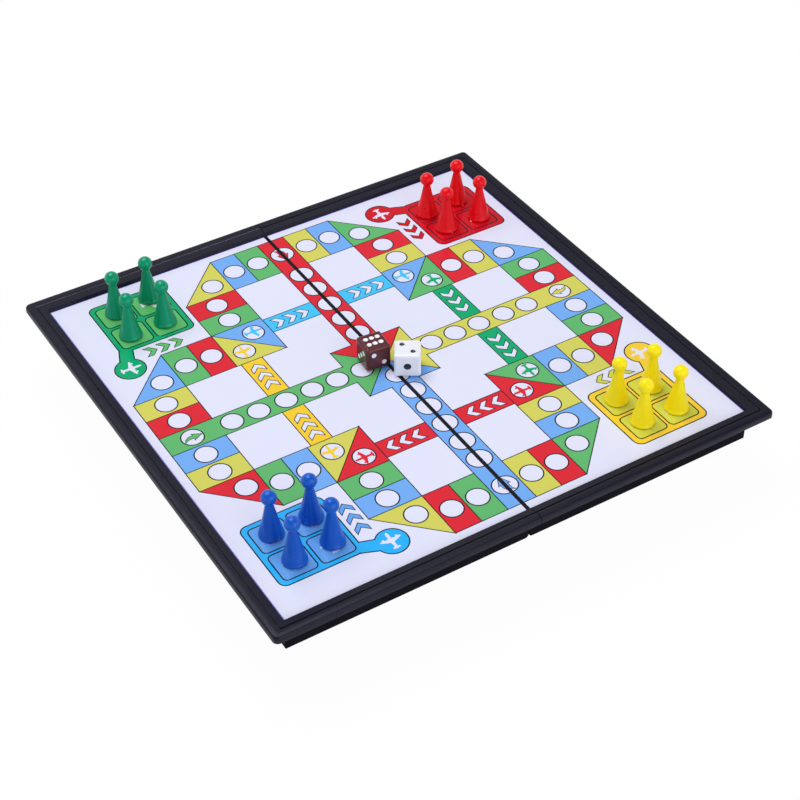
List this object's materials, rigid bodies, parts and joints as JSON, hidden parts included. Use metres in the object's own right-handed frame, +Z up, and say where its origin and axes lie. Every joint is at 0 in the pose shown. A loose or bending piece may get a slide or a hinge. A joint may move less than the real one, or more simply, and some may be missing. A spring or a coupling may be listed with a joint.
{
  "type": "folding ludo board box",
  "caption": "Square ludo board of two hinged black plastic half cases that fold into a flat box, with printed steel sheets, magnetic pawns and dice.",
  "frame": {"origin": "under the middle of the open board, on the surface it stands on", "axes": "+X across the fold to the red and yellow half, +Y along the fold to the green and red homes, +Z up"},
  "size_m": [0.25, 0.2488, 0.0413],
  "materials": {
    "black_plastic": "moulded, satin",
    "printed_sheet": "gloss film over a print on thin steel",
    "steel": "plain wire",
    "magnet": "sintered, grey",
    "pawn_green": "moulded, glossy",
    "pawn_red": "moulded, glossy",
    "pawn_blue": "moulded, glossy",
    "pawn_yellow": "moulded, glossy",
    "die_brown": "polished, white pips",
    "die_white": "polished, black pips"
  },
  "bodies": {
    "case_right": {"case_right": "black_plastic", "sheet_right": "printed_sheet", "hinge_pin_front": "steel", "hinge_pin_rear": "steel", "magnet_right_front": "magnet", "magnet_right_rear": "magnet"},
    "case_left": {"case_left": "black_plastic", "sheet_left": "printed_sheet", "magnet_left_front": "magnet", "magnet_left_rear": "magnet"},
    "pawn_green_1": {"pawn_green_1": "pawn_green", "pawn_magnet_green_1": "magnet"},
    "pawn_green_2": {"pawn_green_2": "pawn_green", "pawn_magnet_green_2": "magnet"},
    "pawn_green_3": {"pawn_green_3": "pawn_green", "pawn_magnet_green_3": "magnet"},
    "pawn_green_4": {"pawn_green_4": "pawn_green", "pawn_magnet_green_4": "magnet"},
    "pawn_red_1": {"pawn_red_1": "pawn_red", "pawn_magnet_red_1": "magnet"},
    "pawn_red_2": {"pawn_red_2": "pawn_red", "pawn_magnet_red_2": "magnet"},
    "pawn_red_3": {"pawn_red_3": "pawn_red", "pawn_magnet_red_3": "magnet"},
    "pawn_red_4": {"pawn_red_4": "pawn_red", "pawn_magnet_red_4": "magnet"},
    "pawn_blue_1": {"pawn_blue_1": "pawn_blue", "pawn_magnet_blue_1": "magnet"},
    "pawn_blue_2": {"pawn_blue_2": "pawn_blue", "pawn_magnet_blue_2": "magnet"},
    "pawn_blue_3": {"pawn_blue_3": "pawn_blue", "pawn_magnet_blue_3": "magnet"},
    "pawn_blue_4": {"pawn_blue_4": "pawn_blue", "pawn_magnet_blue_4": "magnet"},
    "pawn_yellow_1": {"pawn_yellow_1": "pawn_yellow", "pawn_magnet_yellow_1": "magnet"},
    "pawn_yellow_2": {"pawn_yellow_2": "pawn_yellow", "pawn_magnet_yellow_2": "magnet"},
    "pawn_yellow_3": {"pawn_yellow_3": "pawn_yellow", "pawn_magnet_yellow_3": "magnet"},
    "pawn_yellow_4": {"pawn_yellow_4": "pawn_yellow", "pawn_magnet_yellow_4": "magnet"},
    "die_brown": {"die_brown": "die_brown"},
    "die_white": {"die_white": "die_white"}
  },
  "joints": [
    {"name": "fold", "type": "hinge", "parent": "case_right", "child": "case_left", "pos_m": [0, 0, 0.0018], "axis": [0, -1, 0], "range_deg": [0, 180]},
    {"name": "lift_pawn_green_1", "type": "slide", "parent": "case_left", "child": "pawn_green_1", "axis": [0, 0, 1], "range_m": [0, 0.045]},
    {"name": "lift_pawn_green_2", "type": "slide", "parent": "case_left", "child": "pawn_green_2", "axis": [0, 0, 1], "range_m": [0, 0.045]},
    {"name": "lift_pawn_green_3", "type": "slide", "parent": "case_left", "child": "pawn_green_3", "axis": [0, 0, 1], "range_m": [0, 0.045]},
    {"name": "lift_pawn_green_4", "type": "slide", "parent": "case_left", "child": "pawn_green_4", "axis": [0, 0, 1], "range_m": [0, 0.045]},
    {"name": "lift_pawn_red_1", "type": "slide", "parent": "case_right", "child": "pawn_red_1", "axis": [0, 0, 1], "range_m": [0, 0.045]},
    {"name": "lift_pawn_red_2", "type": "slide", "parent": "case_right", "child": "pawn_red_2", "axis": [0, 0, 1], "range_m": [0, 0.045]},
    {"name": "lift_pawn_red_3", "type": "slide", "parent": "case_right", "child": "pawn_red_3", "axis": [0, 0, 1], "range_m": [0, 0.045]},
    {"name": "lift_pawn_red_4", "type": "slide", "parent": "case_right", "child": "pawn_red_4", "axis": [0, 0, 1], "range_m": [0, 0.045]},
    {"name": "lift_pawn_blue_1", "type": "slide", "parent": "case_left", "child": "pawn_blue_1", "axis": [0, 0, 1], "range_m": [0, 0.045]},
    {"name": "lift_pawn_blue_2", "type": "slide", "parent": "case_left", "child": "pawn_blue_2", "axis": [0, 0, 1], "range_m": [0, 0.045]},
    {"name": "lift_pawn_blue_3", "type": "slide", "parent": "case_left", "child": "pawn_blue_3", "axis": [0, 0, 1], "range_m": [0, 0.045]},
    {"name": "lift_pawn_blue_4", "type": "slide", "parent": "case_left", "child": "pawn_blue_4", "axis": [0, 0, 1], "range_m": [0, 0.045]},
    {"name": "lift_pawn_yellow_1", "type": "slide", "parent": "case_right", "child": "pawn_yellow_1", "axis": [0, 0, 1], "range_m": [0, 0.045]},
    {"name": "lift_pawn_yellow_2", "type": "slide", "parent": "case_right", "child": "pawn_yellow_2", "axis": [0, 0, 1], "range_m": [0, 0.045]},
    {"name": "lift_pawn_yellow_3", "type": "slide", "parent": "case_right", "child": "pawn_yellow_3", "axis": [0, 0, 1], "range_m": [0, 0.045]},
    {"name": "lift_pawn_yellow_4", "type": "slide", "parent": "case_right", "child": "pawn_yellow_4", "axis": [0, 0, 1], "range_m": [0, 0.045]},
    {"name": "lift_die_brown", "type": "slide", "parent": "case_left", "child": "die_brown", "axis": [0, 0, 1], "range_m": [0, 0.045]},
    {"name": "lift_die_white", "type": "slide", "parent": "case_right", "child": "die_white", "axis": [0, 0, 1], "range_m": [0, 0.045]}
  ]
}
